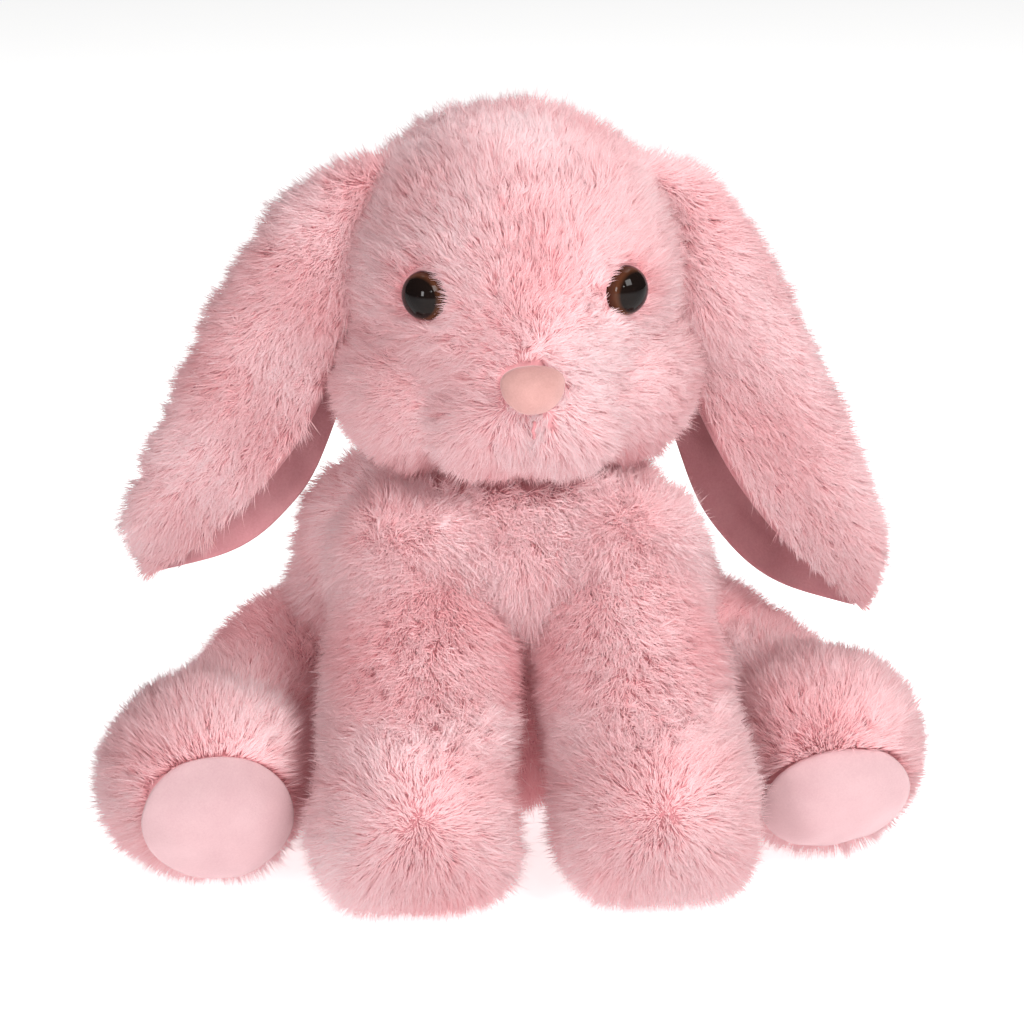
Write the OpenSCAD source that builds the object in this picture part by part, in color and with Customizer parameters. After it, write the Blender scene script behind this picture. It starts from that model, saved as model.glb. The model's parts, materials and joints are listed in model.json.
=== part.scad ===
// Sitting lop-eared plush bunny. It faces -Y with +Z up, its own left is +X, and z = 0 is the floor.
// Fur covers are shells whose outer face is the tips of the pile and whose inner face is the filling.

/* [Fur and seams] */
// Thickness of a fur cover, from the tips of the pile to the filling
fur_t = 8; // [6:0.5:9]
// Gap kept between two pieces that touch
seam_gap = 0.2; // [0.1:0.05:0.3]
// Gap kept between two pieces that move against each other
move_gap = 0.6; // [0.4:0.1:1]

/* [Head] */
// Radius of the round crown
crown_r = 60; // [58:0.5:61]
// Height of the middle of the crown
crown_z = 205; // [203:1:207]
// Half the width across the cheeks
cheek_reach = 66.5; // [64:0.5:68]
// Radius of the roundness of the cheeks
cheek_r = 33; // [31:0.5:34]
// Height of the cheeks
cheek_z = 174; // [173:1:177]
// How far the middle of the head stands in front of the origin
head_forward = 5; // [3:1:7]
// Radius of the muzzle
muzzle_r = 27; // [25:0.5:29]
// How far the middle of the muzzle stands in front of the origin
muzzle_forward = 45; // [43:1:47]
// Height of the middle of the muzzle
muzzle_z = 170; // [168:1:172]

/* [Face] */
// Diameter of a safety eye
eye_d = 17; // [14:0.5:19]
// Height of the eyes
eye_z = 207; // [204:1:210]
// Angle of each eye away from straight ahead, round the head
eye_turn = 38; // [34:1:42]
// Radius of the post behind an eye
eye_post_r = 2; // [1.5:0.25:2.5]
// Width of the nose pad
nose_w = 24; // [20:1:28]
// Height of the nose pad
nose_h = 16; // [14:1:18]
// Height of the middle of the nose pad
nose_z = 179; // [177:1:181]
// Radius of the thread of the mouth
thread_r = 0.7; // [0.5:0.1:1]

/* [Ears] */
// Length of an ear from its seam to its tip
ear_length = 165; // [150:1:175]
// Angle between a hanging ear and straight down
ear_tilt = 24; // [22:0.5:26]
// Distance of the ear seams from the middle of the head
ear_seam_x = 49; // [48:0.5:50]
// Height of the ear seams
ear_seam_z = 244; // [243:0.5:246]
// Thickness of the fur side of an ear
ear_fur_t = 8; // [6:0.5:9]
// Thickness of the velour lining of an ear
ear_lining_t = 1.8; // [1.4:0.1:2.4]
// Outer radius of the fold that runs down an ear
ear_fold_r = 21; // [19:0.5:22]

/* [Body] */
// Radius of the seat
seat_r = 56; // [54:1:57]
// Radius of the chest
chest_r = 46; // [44:1:47]
// Radius of the ball of filling in the neck
neck_r = 24; // [22:1:26]
// Radius of the tail
tail_r = 21; // [20:0.5:22]

/* [Front legs] */
// Radius of a front leg at the shoulder
shoulder_r = 31; // [29:0.5:32]
// Radius of a front paw
paw_r = 35.5; // [34:0.5:37]

/* [Back legs] */
// Radius of a back leg at the hip
hip_r = 36; // [34:0.5:37]
// Radius of a back leg at the ankle
ankle_r = 31; // [29:0.5:32]
// Radius of a back foot
foot_r = 37; // [36:0.5:37.5]
// Radius of the velour sole pad
sole_r = 24; // [21:0.5:26]
// Thickness of the velour sole pad
sole_t = 3; // [2:0.5:4]

/* [Hidden] */

RIGHT = -1;
LEFT = 1;
arc_steps = 9;
round_fn = 64;
soft_fn = 24;
big = 400;
pocket_reach = 100;
fur_colour = "#dc9ea8";
filling_colour = "#f4f1ea";

// Pivots and ends of the limbs, for the left side
shoulder = [36, -28, 104];
paw = [41, -72.5, paw_r];
hip = [71, 24, 41];
foot = [110, -36, foot_r];
hip_gap = 4;
shoulder_gap = 2.5;
ankle_at = 46;
hip_arc_to = 12;
foot_arc_from = -28;

seat_centre = [0, 24, 54];
chest_centre = [0, 6, 92];
neck_centre = [0, 3, 134];
muzzle_centre = [0, -muzzle_forward, muzzle_z];
tail_centre = [0, paw_r - paw[1] - tail_r, 38];

pouch_r = 30;
pouch_h = 20;
pouch_z = 14;
sole_drop = 7;
sole_out = 1;

eye_dome_h = 7.5;
eye_sink = 6.5;
post_l = 14;
washer_r = 8;
washer_t = 1.6;
washer_hub_r = 3.6;
post_fit = 0.05;

nose_ball_r = 5;
nose_sink = 2;
nose_y = muzzle_forward + muzzle_r - nose_sink;
stitch_from = 0;
stitch_to = -38;

// Outline of the ear: circles that the edge runs round, as [x, z, radius], measured from the seam
ear_root_circle = [7, -7, 7];
ear_upper_circle = [10, -48, 20];
ear_tip_circle = [15, 14 - ear_length, 14];
ear_front_circle = [8, -95, 24];
ear_back_circle = [4, -98, 30];
ear_fold_x = 11;
ear_centre_y = 3;
ear_lining_inset = 1.5;
flap_reach = 60;

// Points of an arc in the plane of a profile
function arc(centre, r, from, to) =
    [for (i = [0 : arc_steps]) centre + r * [cos(from + (to - from) * i / arc_steps),
        sin(from + (to - from) * i / arc_steps)]];

// Direction of the normal of the straight line that touches two circles on their outer side
function touch(low, low_r, high, high_r) =
    atan2(high[1] - low[1], high[0] - low[0]) - acos((low_r - high_r) / norm(high - low));

// Half outline of two circles one over the other, joined by the line that touches both
function pair_profile(low, low_r, high, high_r) =
    concat([[0, low[1] - low_r]],
        arc(low, low_r, -90, touch(low, low_r, high, high_r)),
        arc(high, high_r, touch(low, low_r, high, high_r), 90));

function mirrored(p, side) = [side * p[0], p[1], p[2]];

// Moves +Z onto the line from one point to another, with the first point as origin
module along(from, to) {
    way = to - from;
    translate(from)
        rotate([0, acos(way[2] / norm(way)), atan2(way[1], way[0])])
            children();
}

// Two balls joined by a touching cone
module limb(from, from_r, to, to_r) {
    along(from, to)
        rotate_extrude($fn = round_fn)
            polygon(pair_profile([0, 0], from_r, [0, norm(to - from)], to_r));
}

module above_floor(clear = 0) {
    intersection() {
        children();
        translate([-big / 2, -big / 2, clear])
            cube(big);
    }
}

// ---- outer forms, each grown by a distance that may be negative ----

module head_form(grow = 0) {
    translate([0, -head_forward, 0])
        rotate_extrude($fn = round_fn)
            polygon(pair_profile([cheek_reach - cheek_r, cheek_z], cheek_r + grow, [0, crown_z], crown_r + grow));
    translate(muzzle_centre)
        sphere(r = muzzle_r + grow, $fn = round_fn);
}

module arm_form(side, grow = 0) {
    limb(mirrored(shoulder, side), shoulder_r + grow, mirrored(paw, side), paw_r + grow);
}

module leg_form(side, grow = 0) {
    from = mirrored(hip, side);
    to = mirrored(foot, side);
    leg_l = norm(to - from);
    along(from, to)
        rotate_extrude($fn = round_fn)
            polygon(concat(
                arc([0, 0], hip_r + grow, -90, hip_arc_to),
                [[ankle_r + grow, ankle_at]],
                arc([0, leg_l], foot_r + grow, foot_arc_from, 90)));
}

module torso_form(grow = 0) {
    limb(seat_centre, seat_r + grow, chest_centre, chest_r + grow);
}

// Room that the body leaves for the limbs and the neck
module body_room() {
    for (side = [RIGHT, LEFT]) {
        limb(mirrored(shoulder, side), shoulder_r + shoulder_gap, mirrored(paw, side), paw_r + move_gap);
        translate(mirrored(hip, side))
            sphere(r = hip_r + hip_gap, $fn = round_fn);
    }
    translate(neck_centre)
        sphere(r = neck_r + move_gap, $fn = round_fn);
}

// ---- head ----

// Puts the face of an eye at the surface of the head, looking out along +Z
module at_eye(side) {
    translate([0, -head_forward, eye_z])
        rotate([0, 0, side * eye_turn])
            rotate([90, 0, 0])
                translate([0, 0, crown_r - eye_sink])
                    children();
}

// The eye's own shape: a dome that is part of a ball, on a post
module eye_form(grow = 0) {
    eye_r = eye_d / 2 + grow;
    dome_r = (eye_r * eye_r + eye_dome_h * eye_dome_h) / (2 * eye_dome_h);
    intersection() {
        translate([0, 0, eye_dome_h - dome_r])
            sphere(r = dome_r, $fn = round_fn);
        cylinder(r = eye_r, h = eye_dome_h, $fn = round_fn);
    }
    translate([0, 0, -post_l])
        cylinder(r = eye_post_r, h = post_l, $fn = round_fn);
}

module washer_form(grow = 0) {
    translate([0, 0, -fur_t + eye_sink - washer_t - seam_gap - grow])
        cylinder(r = washer_r + grow, h = washer_t + 2 * grow, $fn = round_fn);
    translate([0, 0, -post_l + post_fit - grow])
        cylinder(r = washer_hub_r + grow, h = post_l - fur_t + eye_sink - washer_t, $fn = round_fn);
}

module eye(side) {
    color("#1c1210")
        at_eye(side)
            eye_form();
}

module eye_washer(side) {
    color("#e9e6de")
        at_eye(side)
            difference() {
                washer_form();
                translate([0, 0, -2 * post_l])
                    cylinder(r = eye_post_r + post_fit, h = 2 * post_l, $fn = round_fn);
            }
}

// Room for the eyes in the fur and for their posts and washers behind it
module eye_room() {
    for (side = [RIGHT, LEFT])
        at_eye(side) {
            cylinder(r = eye_d / 2 + seam_gap, h = 2 * eye_dome_h, $fn = round_fn);
            translate([0, 0, -2 * post_l])
                cylinder(r = eye_post_r + seam_gap, h = 2 * post_l + eye_dome_h, $fn = round_fn);
            washer_form(seam_gap);
        }
}

// Rounded triangle, broad at the top, that bulges out of the muzzle
module nose() {
    wide = nose_w / 2 - nose_ball_r;
    tall = nose_h / 2 - nose_ball_r;
    color("#e6b3a6")
        hull()
            for (p = [[-wide, tall], [wide, tall], [0, -tall]])
                translate([p[0], -nose_y, nose_z + p[1]])
                    sphere(r = nose_ball_r, $fn = soft_fn);
}

// Round pocket in the fur that the nose sits in
module nose_pocket() {
    translate([0, -nose_y + nose_ball_r + seam_gap, nose_z])
        rotate([90, 0, 0])
            cylinder(r = nose_w / 2 + seam_gap, h = pocket_reach, $fn = round_fn);
}

// Thread that follows the muzzle down from the nose
module mouth_stitch() {
    color("#c9767e")
        translate(muzzle_centre)
            rotate([0, 90, 0])
                rotate([0, 0, -90 - stitch_from])
                    rotate_extrude(angle = stitch_from - stitch_to, $fn = round_fn)
                        translate([muzzle_r + thread_r + seam_gap, 0])
                            circle(r = thread_r, $fn = soft_fn);
}

module head_cover() {
    color(fur_colour)
        difference() {
            head_form();
            head_form(-fur_t);
            nose_pocket();
            eye_room();
            translate(neck_centre)
                sphere(r = neck_r + move_gap, $fn = round_fn);
        }
}

module head_stuffing() {
    color(filling_colour)
        difference() {
            head_form(-fur_t - seam_gap);
            eye_room();
            translate(neck_centre)
                sphere(r = neck_r + move_gap, $fn = round_fn);
        }
}

// ---- ears ----

// Places the left ear with its seam at the origin, hanging down and out
module at_left_ear() {
    translate([ear_seam_x, -head_forward + ear_centre_y, ear_seam_z])
        rotate([0, -ear_tilt, 0])
            children();
}

module at_ear(side) {
    if (side == RIGHT)
        mirror([1, 0, 0])
            at_left_ear()
                children();
    else
        at_left_ear()
            children();
}

// Leaf outline of one flap, drawn in the plane of the ear
module ear_outline(belly, inset) {
    hull()
        for (c = [ear_root_circle, ear_upper_circle, belly, ear_tip_circle])
            translate([c[0], c[1]])
                circle(r = c[2] - inset, $fn = soft_fn);
}

// Stands an outline on the ear and gives it depth to one side: -1 is the front flap, 1 the back flap
module ear_flap_block(belly, inset, way) {
    translate([0, way < 0 ? 0 : flap_reach, 0])
        rotate([90, 0, 0])
            linear_extrude(height = flap_reach)
                ear_outline(belly, inset);
}

// A sheet folded along the length of the ear, between two radii of the fold
module ear_sheet(outer_r, inner_r, inset) {
    intersection() {
        translate([0, 0, -ear_length])
            linear_extrude(height = ear_length)
                difference() {
                    union() {
                        translate([ear_fold_x, 0])
                            circle(r = outer_r, $fn = round_fn);
                        translate([ear_fold_x - flap_reach, -outer_r])
                            square([flap_reach, 2 * outer_r]);
                    }
                    translate([ear_fold_x, 0])
                        circle(r = inner_r, $fn = round_fn);
                    translate([ear_fold_x - 2 * flap_reach, -inner_r])
                        square([2 * flap_reach, 2 * inner_r]);
                }
        union() {
            ear_flap_block(ear_front_circle, inset, -1);
            ear_flap_block(ear_back_circle, inset, 1);
        }
    }
}

module ear_back(side) {
    color(fur_colour)
        difference() {
            at_ear(side)
                ear_sheet(ear_fold_r, ear_fold_r - ear_fur_t, 0);
            head_form(move_gap);
        }
}

module ear_lining(side) {
    outer = ear_fold_r - ear_fur_t - seam_gap;
    color("#c98a90")
        difference() {
            at_ear(side)
                ear_sheet(outer, outer - ear_lining_t, ear_lining_inset);
            head_form(move_gap);
        }
}

// ---- body ----

module neck_stuffing() {
    color(filling_colour)
        translate(neck_centre)
            sphere(r = neck_r, $fn = round_fn);
}

module body_cover() {
    color(fur_colour)
        difference() {
            above_floor()
                torso_form();
            above_floor(fur_t)
                torso_form(-fur_t);
            body_room();
        }
}

// Flat bag of plastic pellets that weighs the seat down
module pouch_form(grow = 0) {
    edge_r = pouch_h / 2 + grow;
    translate([0, seat_centre[1], pouch_z + pouch_h / 2])
        rotate_extrude($fn = round_fn)
            polygon(concat([[0, -edge_r]],
                arc([pouch_r - pouch_h / 2, 0], edge_r, -90, 90),
                [[0, edge_r]]));
}

module body_stuffing() {
    color(filling_colour)
        difference() {
            above_floor(fur_t + seam_gap)
                torso_form(-fur_t - seam_gap);
            body_room();
            pouch_form(seam_gap);
        }
}

module seat_pellet_pouch() {
    color("#cfc8b8")
        pouch_form();
}

module tail_form(grow = 0) {
    along(tail_centre, seat_centre)
        sphere(r = tail_r + grow, $fn = round_fn);
}

// The round of the seat, which the tail is hollowed to fit
module tail_seam() {
    along(seat_centre, tail_centre)
        sphere(r = seat_r + seam_gap, $fn = round_fn);
}

module tail_cover() {
    color(fur_colour)
        difference() {
            tail_form();
            tail_form(-fur_t);
            tail_seam();
        }
}

module tail_stuffing() {
    color(filling_colour)
        difference() {
            tail_form(-fur_t - seam_gap);
            tail_seam();
        }
}

// ---- front legs ----

module arm_cover(side) {
    color(fur_colour)
        difference() {
            arm_form(side);
            arm_form(side, -fur_t);
        }
}

module arm_stuffing(side) {
    color(filling_colour)
        arm_form(side, -fur_t - seam_gap);
}

// ---- back legs ----

// Looks out of the front of the foot along +Z, from the middle of the foot's ball
module at_sole(side) {
    centre = mirrored(foot, side);
    along(centre, centre + [side * sole_out, -foot_r, -sole_drop])
        children();
}

module leg_cover(side) {
    color(fur_colour)
        difference() {
            leg_form(side);
            leg_form(side, -fur_t);
            at_sole(side)
                difference() {
                    cylinder(r = sole_r + seam_gap, h = pocket_reach, $fn = round_fn);
                    sphere(r = foot_r - sole_t - seam_gap, $fn = round_fn);
                }
        }
}

module sole_pad(side) {
    color("#e8b6bc")
        at_sole(side)
            intersection() {
                cylinder(r = sole_r, h = pocket_reach, $fn = round_fn);
                difference() {
                    sphere(r = foot_r, $fn = round_fn);
                    sphere(r = foot_r - sole_t, $fn = round_fn);
                }
            }
}

module leg_stuffing(side) {
    color(filling_colour)
        leg_form(side, -fur_t - seam_gap);
}

// ---- nodes ----

head_cover();
head_stuffing();
nose();
mouth_stitch();
neck_stuffing();
body_cover();
body_stuffing();
seat_pellet_pouch();
tail_cover();
tail_stuffing();
eye(RIGHT);  // right_eye
eye(LEFT);  // left_eye
eye_washer(RIGHT);  // right_eye_washer
eye_washer(LEFT);  // left_eye_washer
ear_back(RIGHT);  // right_ear_back
ear_back(LEFT);  // left_ear_back
ear_lining(RIGHT);  // right_ear_lining
ear_lining(LEFT);  // left_ear_lining
arm_cover(RIGHT);  // right_arm_cover
arm_cover(LEFT);  // left_arm_cover
arm_stuffing(RIGHT);  // right_arm_stuffing
arm_stuffing(LEFT);  // left_arm_stuffing
leg_cover(RIGHT);  // right_leg_cover
leg_cover(LEFT);  // left_leg_cover
leg_stuffing(RIGHT);  // right_leg_stuffing
leg_stuffing(LEFT);  // left_leg_stuffing
sole_pad(RIGHT);  // right_sole_pad
sole_pad(LEFT);  // left_sole_pad
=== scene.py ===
import json
import math

import bmesh
import bpy
import numpy as np
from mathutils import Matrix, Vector, kdtree


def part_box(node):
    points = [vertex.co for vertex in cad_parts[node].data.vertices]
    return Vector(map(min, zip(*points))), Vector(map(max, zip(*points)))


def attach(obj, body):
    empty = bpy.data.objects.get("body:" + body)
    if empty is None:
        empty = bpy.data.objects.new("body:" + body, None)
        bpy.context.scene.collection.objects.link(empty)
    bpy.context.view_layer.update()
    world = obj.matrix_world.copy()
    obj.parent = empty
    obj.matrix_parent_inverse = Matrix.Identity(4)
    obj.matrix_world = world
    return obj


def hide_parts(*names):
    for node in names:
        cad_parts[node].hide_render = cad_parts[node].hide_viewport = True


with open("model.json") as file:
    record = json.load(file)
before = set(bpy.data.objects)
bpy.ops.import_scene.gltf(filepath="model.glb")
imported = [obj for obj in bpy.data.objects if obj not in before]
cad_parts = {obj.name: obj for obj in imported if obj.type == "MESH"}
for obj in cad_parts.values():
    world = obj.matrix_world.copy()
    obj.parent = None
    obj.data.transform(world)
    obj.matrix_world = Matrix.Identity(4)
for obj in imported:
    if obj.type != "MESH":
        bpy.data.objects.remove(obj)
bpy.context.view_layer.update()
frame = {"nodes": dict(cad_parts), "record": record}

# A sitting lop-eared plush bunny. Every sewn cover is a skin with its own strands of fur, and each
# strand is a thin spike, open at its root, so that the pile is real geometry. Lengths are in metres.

MM = 0.001
PILE = 6.0 * MM          # how far the skins lie inside the tips of the fur
DENSITY = 1.0
STRANDS_A_PIECE = 60000  # the export holds a piece to 200,000 triangles
NORMAL_SHARE = 0.5       # how far the outer side of a strand is shaded with the way its skin faces
LEAN_LOW, LEAN_HIGH = 0.55, 1.35  # share of a strand's lean in its lower and in its upper half
ROOT_DEPTH = 0.6 * MM    # how deep a strand starts under its skin
TONE, TONE_DRIFT, TONE_SPREAD = 0.58, 0.10, 0.11
TONE_RANGE = (0.02, 0.93)
SPARKLE_TONE = 0.99
SPARKLE = 0.02           # share of the strands that are very pale
FLOOR_CLEAR = 0.8 * MM   # lowest that the pile goes
SIDES = {"right": -1, "left": 1}
SOLE_FACES = {"right": (4, -37, -7), "left": (2, -36, -12)}
SOLE_TALL = {"right": 23.5 * MM, "left": 20.5 * MM}
FOOT_SHIFT = {"right": np.array((0.0, -6.0, 0.0)) * MM, "left": np.array((-5.0, 0.0, 0.0)) * MM}


# ---- places, all from the CAD frame ----

def vec(*p):
    return np.array(p, dtype=float)


def box(node):
    low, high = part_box(node)
    return np.array(low), np.array(high)


def middle(node):
    low, high = box(node)
    return (low + high) / 2


def joint_place(name):
    for joint in frame["record"]["behaviour"]["joints"]:
        if joint["name"] == name:
            return np.array(joint["pos_m"], dtype=float)
    raise KeyError(name)


def unit(v):
    return v / np.maximum(np.linalg.norm(v, axis=-1, keepdims=True), 1e-9)


# ---- smooth noise from a few fixed waves ----

class Waves:
    """Smooth noise between about -1 and 1: a sum of sine waves of about the given length."""

    def __init__(self, seed, length, count=14):
        rng = np.random.default_rng(seed)
        self.way = unit(rng.normal(size=(count, 3))) * (2 * math.pi / length)
        self.way *= rng.uniform(0.6, 1.5, (count, 1))
        self.phase = rng.uniform(0, 2 * math.pi, count)
        self.gain = 1.6 / math.sqrt(count)

    def __call__(self, p):
        return np.sin(p @ self.way.T + self.phase).sum(1) * self.gain


# ---- materials ----

def new_material(name):
    mat = bpy.data.materials.new(name)
    mat.use_nodes = True
    return mat, mat.node_tree.nodes, mat.node_tree.links, mat.node_tree.nodes["Principled BSDF"]


def ramp(nodes, stops):
    node = nodes.new("ShaderNodeValToRGB")
    while len(node.color_ramp.elements) > 1:
        node.color_ramp.elements.remove(node.color_ramp.elements[-1])
    for i, (at, colour) in enumerate(stops):
        stop = node.color_ramp.elements[0] if i == 0 else node.color_ramp.elements.new(at)
        stop.position = at
        stop.color = (*colour, 1)
    return node


def fur_material():
    """Colour of a strand: u is the tone of the strand, with the painted light and shade of its part, and v
    runs from its root to its tip, darkening steeply towards the root as painted shade deep in the pile.
    """
    mat, nodes, links, bsdf = new_material("pink_fur")
    place = nodes.new("ShaderNodeUVMap")
    place.uv_map = "OFBake"
    split = nodes.new("ShaderNodeSeparateXYZ")
    links.new(place.outputs["UV"], split.inputs[0])
    # Painted shade: both ramps fall to near black over the lower fifth of the strand, for the shade deep in
    # the pile.
    deep = ramp(nodes, [(0.0, (0.06, 0.018, 0.02)), (0.2, (0.55, 0.17, 0.185)), (0.4, (0.74, 0.285, 0.305)),
                        (1.0, (0.86, 0.41, 0.44))])
    pale = ramp(nodes, [(0.0, (0.12, 0.045, 0.05)), (0.2, (0.86, 0.46, 0.49)), (0.4, (0.96, 0.68, 0.705)),
                        (1.0, (0.99, 0.84, 0.86))])
    tone = nodes.new("ShaderNodeMix")
    tone.data_type = "RGBA"
    links.new(split.outputs["Y"], deep.inputs[0])
    links.new(split.outputs["Y"], pale.inputs[0])
    links.new(split.outputs["X"], tone.inputs["Factor"])
    links.new(deep.outputs["Color"], tone.inputs["A"])
    links.new(pale.outputs["Color"], tone.inputs["B"])
    links.new(tone.outputs["Result"], bsdf.inputs["Base Color"])
    bsdf.inputs["Roughness"].default_value = 0.6
    bsdf.inputs["Specular IOR Level"].default_value = 0.04
    # Painted light: a faint pink glow on every strand stands in for light scattered through the pile and
    # keeps the shaded fur pink.
    bsdf.inputs["Emission Color"].default_value = (0.80, 0.33, 0.36, 1)
    bsdf.inputs["Emission Strength"].default_value = 0.09
    bsdf.inputs["Sheen Tint"].default_value = (1.0, 0.86, 0.88, 1)
    return mat


def cloth_material(name, dark, light, patch, nap, bump, sheen=0.5):
    """Velour or backing cloth: slow patches of tone, and a fine nap that also lifts the surface."""
    mat, nodes, links, bsdf = new_material(name)
    coord = nodes.new("ShaderNodeTexCoord")
    slow = nodes.new("ShaderNodeTexNoise")
    slow.inputs["Scale"].default_value = 1 / patch
    slow.inputs["Detail"].default_value = 4
    fine = nodes.new("ShaderNodeTexNoise")
    fine.inputs["Scale"].default_value = 1 / nap
    fine.inputs["Detail"].default_value = 3
    fine.inputs["Roughness"].default_value = 0.7
    both = nodes.new("ShaderNodeMix")
    both.inputs["Factor"].default_value = 0.45
    colour = ramp(nodes, [(0.32, dark), (0.68, light)])
    lift = nodes.new("ShaderNodeBump")
    lift.inputs["Strength"].default_value = bump
    lift.inputs["Distance"].default_value = 0.4 * MM
    for noise in (slow, fine):
        links.new(coord.outputs["Object"], noise.inputs["Vector"])
    links.new(slow.outputs["Fac"], both.inputs["A"])
    links.new(fine.outputs["Fac"], both.inputs["B"])
    links.new(both.outputs["Result"], colour.inputs[0])
    links.new(colour.outputs["Color"], bsdf.inputs["Base Color"])
    links.new(fine.outputs["Fac"], lift.inputs["Height"])
    links.new(lift.outputs["Normal"], bsdf.inputs["Normal"])
    bsdf.inputs["Roughness"].default_value = 0.85
    bsdf.inputs["Specular IOR Level"].default_value = 0.2
    bsdf.inputs["Sheen Weight"].default_value = sheen
    bsdf.inputs["Sheen Roughness"].default_value = 0.5
    bsdf.inputs["Sheen Tint"].default_value = (1.0, 0.85, 0.87, 1)
    return mat


def eye_material():
    """Near-black plastic that turns brown near the rim; u is the distance from the middle of the eye."""
    mat, nodes, links, bsdf = new_material("eye_plastic")
    place = nodes.new("ShaderNodeUVMap")
    place.uv_map = "eye_ring"
    split = nodes.new("ShaderNodeSeparateXYZ")
    colour = ramp(nodes, [(0.0, (0.006, 0.004, 0.004)), (0.78, (0.010, 0.006, 0.005)),
                          (0.9, (0.09, 0.032, 0.016)), (1.0, (0.05, 0.018, 0.010))])
    links.new(place.outputs["UV"], split.inputs[0])
    links.new(split.outputs["X"], colour.inputs[0])
    links.new(colour.outputs["Color"], bsdf.inputs["Base Color"])
    bsdf.inputs["Roughness"].default_value = 0.05
    bsdf.inputs["Specular IOR Level"].default_value = 0.13
    return mat


FUR = fur_material()
SKIN = cloth_material("fur_backing", (0.62, 0.28, 0.30), (0.74, 0.38, 0.405), 18 * MM, 1.5 * MM, 0.5, 0.2)
EAR_VELOUR = cloth_material("ear_velour", (0.56, 0.235, 0.26), (0.68, 0.33, 0.355), 16 * MM, 0.8 * MM, 0.35)
SOLE_VELOUR = cloth_material("sole_velour", (0.54, 0.34, 0.36), (0.62, 0.41, 0.43), 14 * MM, 0.7 * MM, 0.3)
NOSE_VELOUR = cloth_material("nose_velour", (0.50, 0.26, 0.24), (0.60, 0.33, 0.305), 9 * MM, 0.6 * MM, 0.3)
THREAD = cloth_material("pink_thread", (0.50, 0.17, 0.19), (0.70, 0.30, 0.32), 3 * MM, 0.3 * MM, 0.6)
FIBRE = cloth_material("white_fibre", (0.78, 0.76, 0.72), (0.92, 0.91, 0.88), 10 * MM, 1.2 * MM, 0.8)
POUCH = cloth_material("pellet_bag", (0.55, 0.51, 0.44), (0.72, 0.68, 0.60), 6 * MM, 1.0 * MM, 0.6)
WASHER = cloth_material("washer_plastic", (0.78, 0.77, 0.72), (0.88, 0.87, 0.83), 12 * MM, 2 * MM, 0.1, 0.0)
EYE = eye_material()


# ---- meshes ----

def piece(name, verts, faces, mat, smooth=True):
    mesh = bpy.data.meshes.new(name)
    mesh.from_pydata([tuple(v) for v in verts], [], [tuple(f) for f in faces])
    mesh.materials.append(mat)
    mesh.shade_smooth() if smooth else mesh.shade_flat()
    obj = bpy.data.objects.new(name, mesh)
    bpy.context.scene.collection.objects.link(obj)
    return obj


def applied(obj):
    """The object with its modifiers worked into its mesh."""
    graph = bpy.context.evaluated_depsgraph_get()
    mesh = bpy.data.meshes.new_from_object(obj.evaluated_get(graph))
    old = obj.data
    obj.modifiers.clear()
    obj.data = mesh
    name = old.name
    bpy.data.meshes.remove(old)
    mesh.name = name
    return obj


def add_ball(bm, centre, radii):
    made = bmesh.ops.create_icosphere(bm, subdivisions=3, radius=1.0)
    bmesh.ops.scale(bm, verts=made["verts"], vec=Vector(radii))
    bmesh.ops.translate(bm, verts=made["verts"], vec=Vector(centre))


def bone(a, a_r, b, b_r, count=12):
    """Balls along a line, which blend into one limb."""
    out = []
    for i in range(count + 1):
        t = i / count
        out.append((a + (b - a) * t, vec(1, 1, 1) * (a_r + (b_r - a_r) * t)))
    return out


def skin(name, balls, voxel=3 * MM, smooth=14, press=None):
    """One soft closed form from many balls: they are fused, then smoothed until no seam shows."""
    bm = bmesh.new()
    for centre, radii in balls:
        add_ball(bm, centre, radii)
    mesh = bpy.data.meshes.new(name)
    bm.to_mesh(mesh)
    bm.free()
    obj = bpy.data.objects.new(name, mesh)
    bpy.context.scene.collection.objects.link(obj)
    fuse = obj.modifiers.new("fuse", "REMESH")
    fuse.mode = "VOXEL"
    fuse.voxel_size = voxel
    soften = obj.modifiers.new("soften", "SMOOTH")
    soften.factor = 0.5
    soften.iterations = smooth
    applied(obj)
    co = coords(obj.data)
    if press is not None:
        co = press(co)
    low = PILE * 0.45
    flat = co[:, 2] < low
    co[flat, 2] = low
    set_coords(obj.data, co)
    obj.data.materials.append(SKIN)
    obj.data.shade_smooth()
    return obj


def coords(mesh):
    co = np.empty(len(mesh.vertices) * 3)
    mesh.vertices.foreach_get("co", co)
    return co.reshape(-1, 3)


def set_coords(mesh, co):
    mesh.vertices.foreach_set("co", np.ascontiguousarray(co).ravel())
    mesh.update()


def surface(obj):
    """Triangles of a piece, as their corners and the corners' normals."""
    mesh = obj.data
    mesh.calc_loop_triangles()
    tri = np.empty(len(mesh.loop_triangles) * 3, dtype=np.int32)
    mesh.loop_triangles.foreach_get("vertices", tri)
    normals = np.empty(len(mesh.vertices) * 3)
    mesh.vertices.foreach_get("normal", normals)
    tri = tri.reshape(-1, 3)
    return coords(mesh)[tri], normals.reshape(-1, 3)[tri]


def scatter(obj, per_mm2, rng):
    """Even random points on a piece, with their normals."""
    corners, normals = surface(obj)
    cross = np.cross(corners[:, 1] - corners[:, 0], corners[:, 2] - corners[:, 0])
    area = np.linalg.norm(cross, axis=1) / 2
    count = int(area.sum() / (MM * MM) * per_mm2 * DENSITY)
    pick = np.searchsorted(np.cumsum(area) / area.sum(), rng.random(count))
    pick = np.minimum(pick, len(area) - 1)
    a, b = np.sqrt(rng.random(count)), rng.random(count)
    w = np.stack([1 - a, a * (1 - b), a * b], axis=1)[:, :, None]
    return (corners[pick] * w).sum(1), unit((normals[pick] * w).sum(1))


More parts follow.
